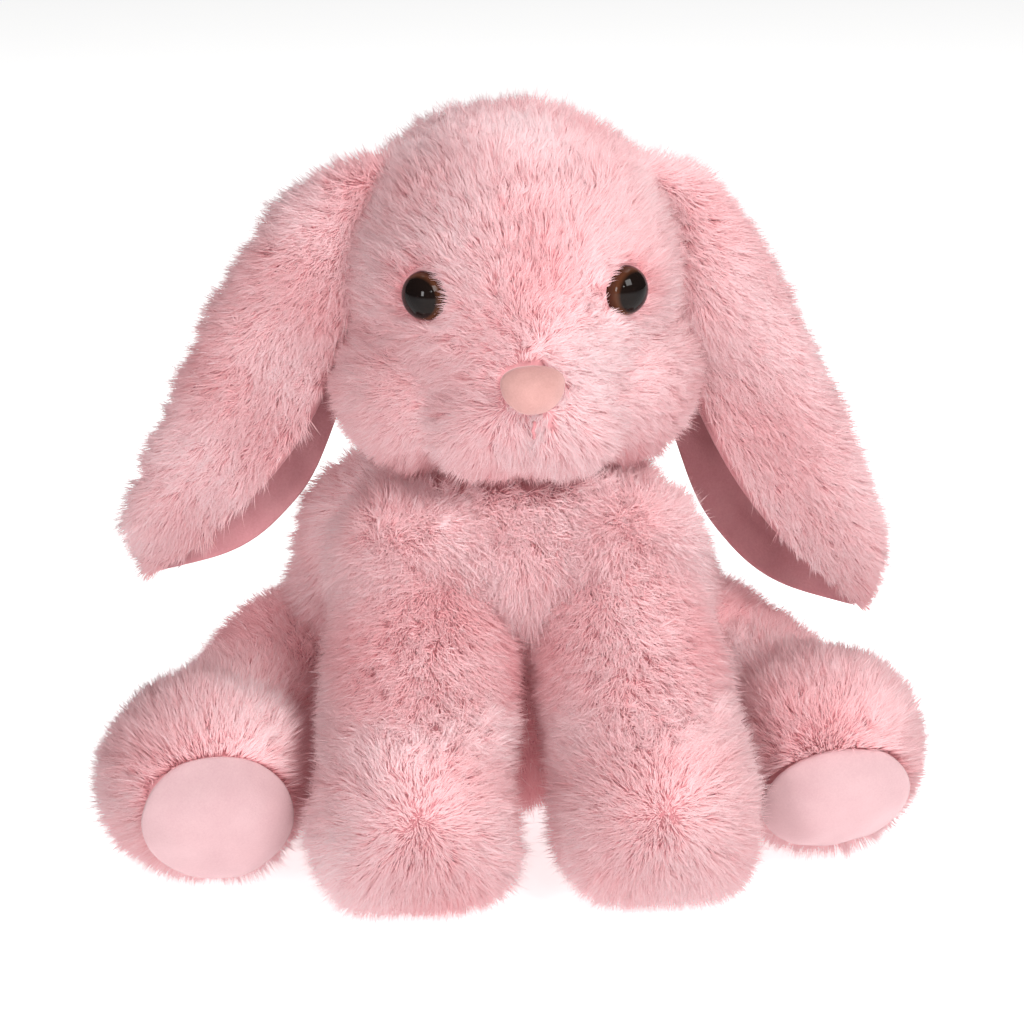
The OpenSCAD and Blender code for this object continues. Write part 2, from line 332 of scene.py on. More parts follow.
def gather(tips, roots, rng, spacing, pull):
    """Draws the tips of neighbouring strands together, as tufts of pile do."""
    count = max(8, int(len(roots) * spacing))
    seeds = rng.choice(len(roots), count, replace=False)
    tree = kdtree.KDTree(count)
    for i, s in enumerate(seeds):
        tree.insert(Vector(roots[s]), i)
    tree.balance()
    near = np.array([tree.find(Vector(r))[1] for r in roots])
    lead = tips[seeds][near] + (roots - roots[seeds][near]) * 0.35
    weight = pull * rng.uniform(0.3, 1.0, (len(roots), 1))
    return tips + (lead - tips) * weight


def fur(name, base, body, comb, per_mm2=1.0, length=11 * MM, lean=0.9, width=0.3 * MM, keep=None,
        seed=1, pull=0.4, spacing=0.09, flare=None, painted_light_and_shade=None, trim=None, mess=0.4):
    """Strands of pile on a skin. comb gives the way they are brushed at each point."""
    rng = np.random.default_rng(seed)
    root, normal = scatter(base, per_mm2, rng)
    if keep is not None:
        sel = keep(root, normal)
        root, normal = root[sel], normal[sel]
    count = len(root)
    way = comb(root, normal)
    way = way + 0.16 * np.stack([Waves(seed * 7 + k, 26 * MM)(root) for k in range(3)], axis=1)
    way = way + 0.30 * np.stack([Waves(seed * 9 + k, 6 * MM)(root) for k in range(3)], axis=1)
    way = unit(way - (way * normal).sum(1, keepdims=True) * normal)
    way = unit(way + rng.normal(size=(count, 3)) * mess)
    long = length * (1 + 0.22 * Waves(seed + 50, 30 * MM)(root) * 0.5 + rng.normal(size=count) * 0.13)
    long = np.clip(long, 0.45 * length, 1.35 * length)[:, None]
    if trim is not None:
        long = long * trim(root)[:, None]
    tilt = lean * (1 + rng.normal(size=count) * mess / 2)[:, None]
    if flare is not None:
        tilt = tilt * flare(root)[:, None]
    low, high = tilt * LEAN_LOW, tilt * LEAN_HIGH
    mid = root + long * 0.5 * (normal * np.cos(low) + way * np.sin(low))
    tip = mid + long * 0.5 * (normal * np.cos(high) + way * np.sin(high))
    tip = gather(tip, root, rng, spacing, pull)
    root = root - normal * ROOT_DEPTH
    tip[:, 2] = np.maximum(tip[:, 2], FLOOR_CLEAR)
    root[:, 2] = np.maximum(root[:, 2], FLOOR_CLEAR)
    axis = unit(tip - root)
    side = unit(np.cross(axis, normal))
    up = np.cross(side, axis)
    thick = width * rng.uniform(0.75, 1.25, (count, 1))
    verts = np.empty((count, 4, 3))
    facing = np.empty_like(verts)
    for k in range(3):
        turn = math.pi / 2 + k * 2 * math.pi / 3
        spoke = side * math.cos(turn) + up * math.sin(turn)
        outward = np.clip((spoke * normal).sum(1, keepdims=True), 0, 1)
        skinlike = 0.25 + NORMAL_SHARE * outward
        verts[:, k] = root + spoke * thick
        facing[:, k] = unit(normal * skinlike + spoke * (1 - skinlike))
    verts[:, -1] = tip
    facing[:, -1] = unit(normal * 0.5 + axis * 0.5)
    tone = TONE + TONE_DRIFT * Waves(seed + 90, 45 * MM)(root) + rng.normal(size=count) * TONE_SPREAD
    # Painted light and shade: each part lightens the tone of its strands where light falls and darkens it
    # where shade falls.
    if painted_light_and_shade is not None:
        tone = tone + painted_light_and_shade(root)
    tone = np.clip(tone, *TONE_RANGE)
    tone[rng.random(count) < SPARKLE] = SPARKLE_TONE
    pieces = max(1, math.ceil(count / STRANDS_A_PIECE))
    group = rng.integers(0, pieces, count)
    for g in range(pieces):
        sel = group == g
        strands(f"{name}_{g + 1}", verts[sel], facing[sel], tone[sel], body)


def strands(name, verts, facing, tone, body):
    """One piece of many strands, with the tone and the place along the strand as its UVs."""
    count, size = verts.shape[:2]
    pattern = [((k + 1) % 3, k, 3) for k in range(3)]
    faces = (np.array(pattern)[None] + size * np.arange(count)[:, None, None]).reshape(-1, 3)
    mesh = bpy.data.meshes.new(name)
    mesh.vertices.add(count * size)
    mesh.vertices.foreach_set("co", verts.ravel())
    mesh.loops.add(len(faces) * 3)
    mesh.loops.foreach_set("vertex_index", faces.ravel().astype(np.int32))
    mesh.polygons.add(len(faces))
    mesh.polygons.foreach_set("loop_start", np.arange(0, len(faces) * 3, 3, dtype=np.int32))
    mesh.update(calc_edges=True)
    mesh.shade_smooth()
    turned_out = mesh.attributes.new("custom_normal", "FLOAT_VECTOR", "POINT")
    turned_out.data.foreach_set("vector", facing.astype(np.float32).ravel())
    along = np.array([0.02, 0.02, 0.02, 0.98])
    uv = np.empty((len(faces) * 3, 2))
    uv[:, 0] = np.repeat(tone, len(pattern) * 3)
    uv[:, 1] = along[faces.ravel() % size]
    layer = mesh.uv_layers.new(name="OFBake")
    layer.data.foreach_set("uv", uv.ravel())
    mesh.materials.append(FUR)
    mesh.update()
    obj = bpy.data.objects.new(name, mesh)
    bpy.context.scene.collection.objects.link(obj)
    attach(obj, body)
    return obj


def filling(base, body, nodes):
    """The stuffing inside a skin: the same form, a little smaller."""
    obj = base.copy()
    obj.data = base.data.copy()
    obj.name = base.name + "_stuffing"
    bpy.context.scene.collection.objects.link(obj)
    normals = np.empty(len(obj.data.vertices) * 3)
    obj.data.vertices.foreach_get("normal", normals)
    set_coords(obj.data, coords(obj.data) - normals.reshape(-1, 3) * 2.5 * MM)
    obj.data.materials.clear()
    obj.data.materials.append(FIBRE)
    for key in list(obj.keys()):
        del obj[key]
    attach(obj, body)
    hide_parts(*nodes)


def cover(obj, body, nodes):
    """Puts a padded piece on the body it moves with, and hides the nodes it stands for."""
    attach(obj, body)
    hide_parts(*nodes)


# ---- the head ----

HEAD_LOW, HEAD_HIGH = box("head_cover")
HEAD_HALF = (HEAD_HIGH - HEAD_LOW) / 2
HEAD_AXIS_Y = HEAD_HIGH[1] - HEAD_HALF[0]
NOSE = middle("nose")
NOSE_LOW, NOSE_HIGH = box("nose")


def head_balls():
    wide = HEAD_HALF[0] - PILE
    top = HEAD_HIGH[2] - PILE
    low = HEAD_LOW[2] + PILE * 0.1
    y = HEAD_AXIS_Y
    balls = [(vec(0, y + 1 * MM, top - wide * 0.90), vec(wide * 0.93, wide * 0.92, wide * 0.90)),
             (vec(0, y + 6 * MM, low + 32 * MM), vec(wide * 0.90, wide * 0.86, 32 * MM)),
             (vec(0, NOSE[1] + 33 * MM, low + 25 * MM), vec(29 * MM, 27 * MM, 23 * MM)),
             (vec(0, y - 22 * MM, low + 48 * MM), vec(40 * MM, 32 * MM, 36 * MM))]
    for side in SIDES.values():
        balls.append((vec(side * (wide - 27 * MM), y - 9 * MM, low + 28 * MM), vec(27, 32, 27) * MM))
        balls.append((vec(side * 13 * MM, NOSE[1] + 26 * MM, low + 20 * MM), vec(17, 17, 16) * MM))
    return balls


def head_press(co):
    """The soft cleft below the nose."""
    front = co[:, 1] < NOSE[1] + 30 * MM
    below = 1 / (1 + np.exp((co[:, 2] - (NOSE_LOW[2] - 3 * MM)) / (2 * MM)))
    groove = np.exp(-(co[:, 0] / (3.2 * MM)) ** 2) * below * front
    co[:, 1] += 4.0 * MM * groove
    return co


def head_comb(p, normal):
    """Brushed away from the nose over the face, and down at the back."""
    away = p - vec(0, NOSE[1] - 8 * MM, NOSE[2] + 2 * MM)
    away = unit(away)
    back = np.clip((p[:, 1:2] - (HEAD_AXIS_Y + 5 * MM)) / (30 * MM), 0, 1)
    return away * (1 - back) + vec(0, 0.1, -1) * back


def build_head():
    head = skin("head", head_balls(), press=head_press)
    cover(head, "head", ["head_cover"])
    filling(head, "head", ["head_stuffing"])
    nose_r = vec((NOSE_HIGH[0] - NOSE_LOW[0]) / 2, 1, (NOSE_HIGH[2] - NOSE_LOW[2]) / 2)

    def keep(p, normal):
        ok = np.ones(len(p), bool)
        for node in ("right_eye", "left_eye"):
            place, out = eye_place(node)
            rel = p - place
            off = rel - (rel @ out)[:, None] * out
            ok &= (np.linalg.norm(off, axis=1) > EYE_R * 1.04) | (rel @ out < -20 * MM)
        near = (((p - NOSE)[:, [0, 2]] / nose_r[[0, 2]]) ** 2).sum(1) > 0.62
        ok &= near | (p[:, 1] > NOSE[1] + 15 * MM)
        return ok

    def eye_gap(p):
        """Distance from the nearer eye's rim."""
        gaps = [np.linalg.norm(p - eye_place(node)[0], axis=1) for node in ("right_eye", "left_eye")]
        return np.minimum(*gaps) - EYE_R

    def trim(p):
        """Short pile round the eyes and at the top of the nose."""
        near_nose = np.linalg.norm((p - NOSE) * vec(0.7, 1, 1), axis=1) - 9 * MM
        return np.clip(0.45 + np.minimum(eye_gap(p) / (9 * MM), near_nose / (14 * MM)), 0.45, 1)

    def painted_light_and_shade(p):
        """Deeper round the eyes, with painted shade under the chin and painted light over the muzzle."""
        ring = np.exp(-np.clip(eye_gap(p), 0, 1) / (2.2 * MM))
        muzzle = np.exp(-(((p - NOSE) / (30 * MM)) ** 2).sum(1))
        under = np.clip((HEAD_LOW[2] + 14 * MM - p[:, 2]) / (14 * MM), 0, 1)
        return 0.06 - 0.45 * ring + 0.12 * muzzle - 0.25 * under

    def face(p, normal):
        return keep(p, normal) & (p[:, 1] < HEAD_AXIS_Y)

    def rear(p, normal):
        return keep(p, normal) & (p[:, 1] >= HEAD_AXIS_Y)

    fur("face_fur", head, "head", head_comb, 5.0, 8 * MM, 0.98, 0.22 * MM, face, seed=3,
        painted_light_and_shade=painted_light_and_shade, trim=trim, mess=0.26)
    fur("back_head_fur", head, "head", head_comb, 3.0, 9 * MM, 0.95, 0.28 * MM, rear, seed=4, painted_light_and_shade=painted_light_and_shade,
        mess=0.3)
    return head


# ---- eyes and nose ----

EYE_R = 8.5 * MM
EYE_DOME = 7.5 * MM


def eye_place(node):
    """Centre of the foot of an eye's dome, and the way it looks."""
    centre = middle(node)
    out = unit(vec(centre[0], centre[1] - HEAD_AXIS_Y, 0))
    axis = vec(0, HEAD_AXIS_Y, centre[2])
    return axis + out * (node_reach(node, out) - EYE_DOME), out


def node_reach(node, out):
    """How far a node goes from the head's axis along a direction."""
    co = coords(frame["nodes"][node].data)
    return float(((co - vec(0, HEAD_AXIS_Y, 0)) @ out).max())


def build_eye(side):
    """A turned plastic dome with a rounded rim and its post."""
    node = f"{side}_eye"
    place, out = eye_place(node)
    profile = [(0.0, -14 * MM), (2 * MM, -14 * MM), (2 * MM, -1.6 * MM), (EYE_R * 0.9, -1.2 * MM),
               (EYE_R, -0.6 * MM), (EYE_R, 0.2 * MM)]
    steps = 12
    for i in range(1, steps + 1):
        a = math.pi / 2 * i / steps
        profile.append((EYE_R * math.cos(a), 0.2 * MM + (EYE_DOME - 0.2 * MM) * math.sin(a)))
    obj = turned(f"{side}_eye_dome", profile, 48, place, out, EYE)
    layer = obj.data.uv_layers.new(name="eye_ring")
    co = coords(obj.data)
    rel = co - place
    off = np.linalg.norm(rel - (rel @ out)[:, None] * out, axis=1) / EYE_R
    for loop in obj.data.loops:
        layer.data[loop.index].uv = (float(off[loop.vertex_index]), 0.5)
    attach(obj, "head")
    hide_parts(node)


def turned(name, profile, around, place, out, mat):
    """A closed shape turned about an axis, from (radius, height) points that start and end on it."""
    side = unit(np.cross(vec(0, 0, 1), out))
    up = np.cross(out, side)
    verts, rings = [], []
    for r, h in profile:
        if r < 1e-6:
            rings.append([len(verts)] * around)
            verts.append(place + out * h)
        else:
            rings.append(list(range(len(verts), len(verts) + around)))
            for k in range(around):
                a = 2 * math.pi * k / around
                verts.append(place + out * h + (side * math.cos(a) + up * math.sin(a)) * r)
    faces = []
    for low, high in zip(rings, rings[1:]):
        for k in range(around):
            n = (k + 1) % around
            ring = [low[k], low[n], high[n], high[k]]
            face = [v for i, v in enumerate(ring) if v != ring[i - 1]]
            if len(face) > 2:
                faces.append(face)
    return piece(name, verts, faces, mat)


def cushion(name, outline, place, out, bulge, sink, mat, rings=10, around=64):
    """A stuffed pad: a crowned face inside an outline, with its edge rolled under and a closed back."""
    side = unit(np.cross(vec(0, 0, 1), out))
    up = np.cross(out, side)
    verts, loops = [place + out * bulge], []
    for i in range(1, rings + 1):
        share = i / rings
        loops.append(len(verts))
        for k in range(around):
            a = 2 * math.pi * k / around
            w, h = outline(a)
            rise = bulge * (1 - share ** 2.6)
            verts.append(place + side * w * share + up * h * share + out * rise)
    for shrink, depth in ((1.02, 0.35), (0.98, 0.75), (0.80, 1.0)):
        loops.append(len(verts))
        for k in range(around):
            a = 2 * math.pi * k / around
            w, h = outline(a)
            verts.append(place + side * w * shrink + up * h * shrink - out * sink * depth)
    faces = [(0, loops[0] + k, loops[0] + (k + 1) % around) for k in range(around)]
    for low, high in zip(loops, loops[1:]):
        for k in range(around):
            n = (k + 1) % around
            faces.append((low + k, high + k, high + n, low + n))
    faces.append([loops[-1] + k for k in range(around)][::-1])
    obj = piece(name, verts, faces, mat)
    finer = obj.modifiers.new("finer", "SUBSURF")
    finer.levels = 1
    finer.render_levels = 1
    return applied(obj)


def build_nose():
    wide = (NOSE_HIGH[0] - NOSE_LOW[0]) / 2
    tall = (NOSE_HIGH[2] - NOSE_LOW[2]) / 2

    def outline(a):
        """Rounded triangle: broad and nearly flat at the top, narrow at the bottom."""
        c, s = math.cos(a), math.sin(a)
        narrow = 1 - 0.36 * (0.5 - 0.5 * s) ** 1.2
        x = wide * 1.04 * narrow * math.copysign(abs(c) ** 0.86, c)
        return x, tall * 1.02 * math.copysign(abs(s) ** 0.86, s)

    out = unit(vec(0, -1, 0.12))
    place = vec(NOSE[0], NOSE[1] + 0.5 * MM, NOSE[2])
    pad = cushion("nose_pad", outline, place, out, 4.6 * MM, 5 * MM, NOSE_VELOUR)
    co = coords(pad.data)
    co = co + out * (Waves(5, 9 * MM)(co) * 0.18 * MM)[:, None]
    set_coords(pad.data, co)
    cover(pad, "head", ["nose"])


def tube(name, path, radius, mat, around=10):
    """A round thread along a path, closed at both ends."""
    path = np.array(path)
    verts, faces = [], []
    for i, p in enumerate(path):
        way = unit(path[min(i + 1, len(path) - 1)] - path[max(i - 1, 0)])
        side = unit(np.cross(way, vec(1, 0.13, 0.07)))
        up = np.cross(way, side)
        for k in range(around):
            a = 2 * math.pi * k / around
            verts.append(p + (side * math.cos(a) + up * math.sin(a)) * radius)
    for i in range(len(path) - 1):
        for k in range(around):
            n = (k + 1) % around
            faces.append((i * around + k, i * around + n, (i + 1) * around + n, (i + 1) * around + k))
    faces.append(list(range(around))[::-1])
    faces.append([(len(path) - 1) * around + k for k in range(around)])
    return piece(name, verts, faces, mat)


def build_stitch():
    """A short thread just under the nose."""
    low, high = box("mouth_stitch")
    start = vec(0, low[1] + 1.8 * MM, high[2] - 1 * MM)
    path = [start + vec(0.3 * math.sin(i * 1.2), i * 0.3, -i * 0.8) * MM for i in range(9)]
    thread = tube("mouth_thread", path, 0.65 * MM, THREAD)
    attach(thread, "head")
    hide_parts("mouth_stitch")


# ---- the body ----

BODY_HIGH = box("body_cover")[1]
SEAT_Y = 24 * MM


def body_balls():
    neck = middle("neck_stuffing")
    seat = BODY_HIGH[0] - PILE
    balls = [(vec(0, SEAT_Y, 52 * MM), vec(seat, seat, seat)),
             (vec(0, 15 * MM, 60 * MM), vec(seat * 0.92, seat * 0.88, seat * 0.9)),
             (vec(0, 12, 98) * MM, vec(50, 42, 38) * MM),
             (vec(0, -20, 110) * MM, vec(50, 32, 24) * MM),
             (vec(0, -32, 108) * MM, vec(30, 24, 22) * MM),
             (vec(0, -6, 127) * MM, vec(45, 38, 18) * MM),
             (vec(0, neck[1], neck[2] - 6 * MM), vec(34, 32, 24) * MM)]
    for name, sign in SIDES.items():
        shoulder = joint_place(f"{name}_arm_raise")
        balls.append((shoulder + vec(-2 * sign, 1, 5) * MM, vec(28, 27.5, 25) * MM))
        balls.append((vec(sign * 38, 22, 76) * MM, vec(36, 34, 38) * MM))
    balls.append((vec(-33, 12, 102) * MM, vec(36, 33, 36) * MM))
    balls.append((vec(0, 22, 88) * MM, vec(54, 36, 46) * MM))
    return balls


def body_comb(p, normal):
    """Down all over, and in towards the middle of the chest."""
    way = np.tile(vec(0, 0, -1), (len(p), 1))
    front = np.clip(-(p[:, 1] + 5 * MM) / (25 * MM), 0, 1)
    way[:, 0] = -p[:, 0] / (60 * MM) * front
    way[:, 1] = -0.25 * front
    return way


def build_body():
    body = skin("body", body_balls(), smooth=26)
    cover(body, "torso", ["body_cover"])
    filling(body, "torso", ["body_stuffing"])

    def keep(p, normal):
        return (p[:, 2] < 136 * MM) & ~((p[:, 2] < 6 * MM) & (normal[:, 2] < -0.9))

    def painted_light_and_shade(p):
        """Painted shade: deeper towards the floor, at the flanks where the limbs keep the light off, and
        most on the belly between the front legs; painted light lifts the rest a little.
        """
        flank = np.clip((np.abs(p[:, 0]) - 30 * MM) / (30 * MM), 0, 1)
        low = np.clip((95 * MM - p[:, 2]) / (50 * MM), 0, 1)
        belly = low * np.exp(-(p[:, 0] / (22 * MM)) ** 2) * (p[:, 1] < 0)
        return 0.12 - 0.37 * low - 0.12 * flank - 0.7 * belly

    fur("body_fur", body, "torso", body_comb, 3.2, 9.5 * MM, 0.9, 0.26 * MM, keep, seed=11, painted_light_and_shade=painted_light_and_shade)

    def bib(p, normal):
        """The front of the chest, where a second and longer pile grows."""
        height = (p[:, 2] > 84 * MM) & (p[:, 2] < 132 * MM)
        return height & (p[:, 1] < -14 * MM) & (np.abs(p[:, 0]) < 34 * MM)

    # Painted light: the bib is lifted to the same paler tone as the top of the body, without the painted
    # shade lower down.
    fur("chest_fur", body, "torso", body_comb, 2.2, 12 * MM, 0.92, 0.24 * MM, bib, seed=12,
        painted_light_and_shade=lambda p: 0.12, mess=0.3)


def build_tail():
    tail_at = middle("tail_cover")
    low, high = box("tail_cover")
    r = (high[0] - low[0]) / 2 - PILE
    tail = skin("tail", [(tail_at - vec(0, 3 * MM, 0), vec(r, r, r))], 2 * MM, 4)
    cover(tail, "torso", ["tail_cover"])
    filling(tail, "torso", ["tail_stuffing"])

    def comb(p, normal):
        """Outward all round, and back."""
        return unit(p - tail_at) * 0.4 + vec(0, 0.8, -0.3)

    fur("tail_fur", tail, "torso", comb, 2.4, 11 * MM, 0.6, 0.32 * MM, seed=13)


# ---- front legs ----

def build_arm(side):
    sign = SIDES[side]
    node = f"{side}_arm_cover"
    low, high = box(node)
    shoulder = joint_place(f"{side}_arm_raise")
    paw_r = 35.5 * MM
    paw = vec((high[0] if sign > 0 else low[0]) - sign * paw_r, low[1] + paw_r, low[2] + paw_r)
    top_r = 28 * MM
    top = shoulder - vec(sign * 5, 0, 0) * MM
    balls = bone(top, top_r, paw + vec(0, 4, 4) * MM, top_r * 1.04)
    balls.append((paw + vec(0, -1, -5) * MM, vec(31, 31, 27) * MM))
    balls.append((paw + vec(-sign * 11, -6, -13) * MM, vec(20, 22, 17) * MM))
    balls.append((paw + vec(sign * 11, -6, -13) * MM, vec(20, 22, 17) * MM))
    arm = skin(f"{side}_arm", balls)
    cover(arm, f"{side}_arm", [node])
    filling(arm, f"{side}_arm", [f"{side}_arm_stuffing"])
    whorl = paw + vec(0, -paw_r * 0.75, 3 * MM)
    line = unit(paw - shoulder)

    def comb(p, normal):
        above = np.clip((p[:, 2:3] - (whorl[2] + 14 * MM)) / (22 * MM), 0, 1)
        radial = unit(p - whorl)
        return radial * (1 - above) + (line + vec(sign * 0.15, 0, 0)) * above

    def keep(p, normal):
        return ~((p[:, 2] < 6 * MM) & (normal[:, 2] < -0.9))

    def flare(p):
        """The pile stands up in the middle of the whorl."""
        return 0.5 + 0.5 * np.clip(np.linalg.norm(p - whorl, axis=1) / (16 * MM) - 0.2, 0, 1)

    def trim(p):
        return 0.62 + 0.38 * np.clip(np.linalg.norm(p - whorl, axis=1) / (18 * MM) - 0.1, 0, 1)

    def painted_light_and_shade(p):
        """Painted light and shade: paler at the paw, deeper up towards the shoulder, and deeper on the side
        that faces the other front leg, where shade falls.
        """
        inner = np.clip((16 * MM - sign * p[:, 0]) / (14 * MM), 0, 1)
        high_up = np.clip((p[:, 2] - 62 * MM) / (20 * MM), 0, 1)
        return 0.06 - 0.22 * high_up - 0.40 * inner

    fur(f"{side}_arm_fur", arm, f"{side}_arm", comb, 4.4, 8.5 * MM, 0.84, 0.23 * MM, keep, seed=20 + sign,
        flare=flare, painted_light_and_shade=painted_light_and_shade, trim=trim)


# ---- back legs ----

def build_leg(side):
    sign = SIDES[side]
    node = f"{side}_leg_cover"
    low, high = box(node)
    hip = joint_place(f"{side}_leg_raise")
    foot_r = 37 * MM
    foot = vec((high[0] if sign > 0 else low[0]) - sign * foot_r, low[1] + foot_r, low[2] + foot_r)
    foot = foot + FOOT_SHIFT[side]
    out = unit(vec(*SOLE_FACES[side]))
    hip_r = high[1] - hip[1] - PILE
    haunch = hip + vec(-sign * 5, 0, 8) * MM
    balls = bone(haunch, hip_r + 2 * MM, hip + (foot - hip) * 0.62, 28 * MM)
    balls.append((foot, vec(32.5, 32, 31.5) * MM))
    balls.append((foot + vec(0, -4, 4) * MM, vec(31, 29, 29) * MM))
    pad_at = foot + out * (foot_r - 7.0 * MM)

    def press(co):
        """The flat front of the foot, where the sole pad is let in."""
        ahead = (co - pad_at) @ out
        return co - out * np.maximum(ahead, 0)[:, None] * 0.9

    leg = skin(f"{side}_leg", balls, press=press)
    cover(leg, f"{side}_leg", [node])
    filling(leg, f"{side}_leg", [f"{side}_leg_stuffing"])
    across, tall = 26 * MM, SOLE_TALL[side]
    tip_up = math.radians(11) * sign

    def outline(a):
        x, z = across * math.cos(a), tall * math.sin(a)
        return x * math.cos(tip_up) - z * math.sin(tip_up), x * math.sin(tip_up) + z * math.cos(tip_up)

    foot_of_pad = pad_at - out * 1.0 * MM
    pad = cushion(f"{side}_sole", outline, foot_of_pad, out, 7.5 * MM, 3 * MM, SOLE_VELOUR, 14, 72)
    co = coords(pad.data)
    co = co + out * (Waves(31 + sign, 20 * MM)(co) * 0.35 * MM)[:, None]
    co[:, 2] = np.maximum(co[:, 2], 1.2 * MM)
    set_coords(pad.data, co)
    cover(pad, f"{side}_leg", [f"{side}_sole_pad"])
    right = unit(np.cross(vec(0, 0, 1), out))
    up = np.cross(out, right)

    def inside(p, grow):
        rel = p - pad_at
        x, z = rel @ right, rel @ up
        xr = x * math.cos(tip_up) + z * math.sin(tip_up)
        zr = -x * math.sin(tip_up) + z * math.cos(tip_up)
        return ((xr / (across * grow)) ** 2 + (zr / (tall * grow)) ** 2 < 1) & (rel @ out > -8 * MM)

    def comb(p, normal):
        """Out from the sole over the foot, and along the thigh towards the foot."""
        radial = unit(p - (pad_at + out * 6 * MM))
        far = np.clip((np.linalg.norm(p - foot, axis=1, keepdims=True) - 38 * MM) / (20 * MM), 0, 1)
        thigh = unit(unit(foot - hip) + vec(0, 0, -0.7))
        return radial * (1 - far) + thigh * far

    def keep(p, normal):
        return ~inside(p, 0.93) & ~((p[:, 2] < 6 * MM) & (normal[:, 2] < -0.9))

    def painted_light_and_shade(p):
        """Painted shade, deeper over the thigh."""
        return -0.34 * np.clip((np.linalg.norm(p - foot, axis=1) - 36 * MM) / (18 * MM), 0, 1)

    def flare(p):
        rim = inside(p, 1.25)
        return np.where(rim, 0.45, 1.0)

    fur(f"{side}_leg_fur", leg, f"{side}_leg", comb, 4.2, 8.5 * MM, 0.84, 0.23 * MM, keep, seed=40 + sign,
        flare=flare, painted_light_and_shade=painted_light_and_shade)


# ---- ears ----

EAR_LONG = 165 * MM
EAR_TILT = {"right": math.radians(25.5), "left": math.radians(22.5)}
EAR_STRETCH = {"right": 0.98, "left": 1.095}
EAR_TUCK = 5 * MM
EAR_ROWS = 56
EAR_COLS = 44


def curve(v, points):
    """A smooth curve through a few (place, value) points."""
    at = np.array([p[0] for p in points], dtype=float)
    value = np.array([p[1] for p in points], dtype=float)
    slope = np.gradient(value, at)
    i = np.clip(np.searchsorted(at, v) - 1, 0, len(at) - 2)
    step = at[i + 1] - at[i]
    t = (v - at[i]) / step
    return ((2 * t ** 3 - 3 * t ** 2 + 1) * value[i] + (t ** 3 - 2 * t ** 2 + t) * step * slope[i]
            + (3 * t ** 2 - 2 * t ** 3) * value[i + 1] + (t ** 3 - t ** 2) * step * slope[i + 1])


EAR_CREST = [(0, 7), (0.14, 19.5), (0.33, 25.5), (0.55, 27.5), (0.79, 27), (0.93, 23), (1, 13)]
EAR_FRONT = [(0, -8), (0.2, -11), (0.36, -14), (0.52, -15), (0.73, -9), (0.91, 3), (1, 11)]
EAR_BACK = [(0, -8), (0.2, -14), (0.36, -20), (0.55, -26), (0.74, -25), (0.9, -11), (1, 10)]
EAR_DEEP = [(0, 6), (0.2, 12.5), (0.5, 14), (0.85, 10), (1, 2.5)]


def ear_point(u, v, inward):
    """A point of the folded sheet in the ear's own frame: u is -1 at the front edge, 1 at the back."""
    crest, deep = curve(v, EAR_CREST) - inward, np.maximum(curve(v, EAR_DEEP) - inward, 0.4)
    edge = np.where(u < 0, curve(v, EAR_FRONT), curve(v, EAR_BACK))
    a = np.abs(u)
    x = crest - (crest - edge) * (1 - np.cos(a * math.pi / 2)) ** 0.92
    y = np.sign(u) * deep * np.sin(np.minimum(1, a * 1.7) * math.pi / 2)
    y = y * (1 - 0.22 * np.clip((a - 0.6) / 0.4, 0, 1) ** 2)
    sunk = np.clip((0.08 - v) / 0.125, 0, 1)
    x = x - 15 * sunk ** 1.3
    z = -np.maximum(v, v * 0.2) * EAR_LONG / MM + 0.05 * (x - 10)
    return np.stack([x, y, z], axis=-1) * MM


def ear_world(points, side):
    """From the ear's own frame to the shared one: stretched, tilted and moved to the hinge."""
    hinge = joint_place(f"{side}_ear_lift")
    tilt = EAR_TILT[side]
    c, s = math.cos(tilt), math.sin(tilt)
    x = (points[..., 0] - EAR_TUCK) * c - points[..., 2] * EAR_STRETCH[side] * s
    z = (points[..., 0] - EAR_TUCK) * s + points[..., 2] * EAR_STRETCH[side] * c
    out = np.stack([x * SIDES[side], points[..., 1], z], axis=-1)
    return out + hinge


def ear_grid(side, inward, inset, top=-0.045, reach=(-1, 1)):
    """Rows of points over an ear, a distance inward (mm) of its outer face and inset from its edges."""
    u = np.linspace(*reach, EAR_COLS) * (1 - inset)
    v = np.linspace(top, 1 - inset * 0.5, EAR_ROWS)
    uu, vv = np.meshgrid(u, v)
    local = ear_point(uu.ravel(), vv.ravel(), inward)
    local[:, 1] += Waves(77, 60 * MM)(local) * 0.9 * MM
    return ear_world(local, side)


def sheet_solid(name, outer, inner, mat, flip):
    """A closed sheet from its outer and its inner grid of points."""
    rows, cols = EAR_ROWS, EAR_COLS
    count = rows * cols
    faces = []
    for i in range(rows - 1):
        for j in range(cols - 1):
            a = i * cols + j
            faces.append((a, a + 1, a + cols + 1, a + cols))
            faces.append((count + a, count + a + cols, count + a + cols + 1, count + a + 1))
    edge = list(range(cols))
    edge += [i * cols + cols - 1 for i in range(1, rows)]
    edge += [(rows - 1) * cols + j for j in range(cols - 2, -1, -1)]
    edge += [i * cols for i in range(rows - 2, 0, -1)]
    for k, a in enumerate(edge):
        b = edge[(k + 1) % len(edge)]
        faces.append((b, a, count + a, count + b))
    if flip:
        faces = [f[::-1] for f in faces]
    obj = piece(name, np.concatenate([outer, inner]), faces, mat)
    finer = obj.modifiers.new("finer", "SUBSURF")
    finer.levels = 1
    finer.render_levels = 1
    return applied(obj)


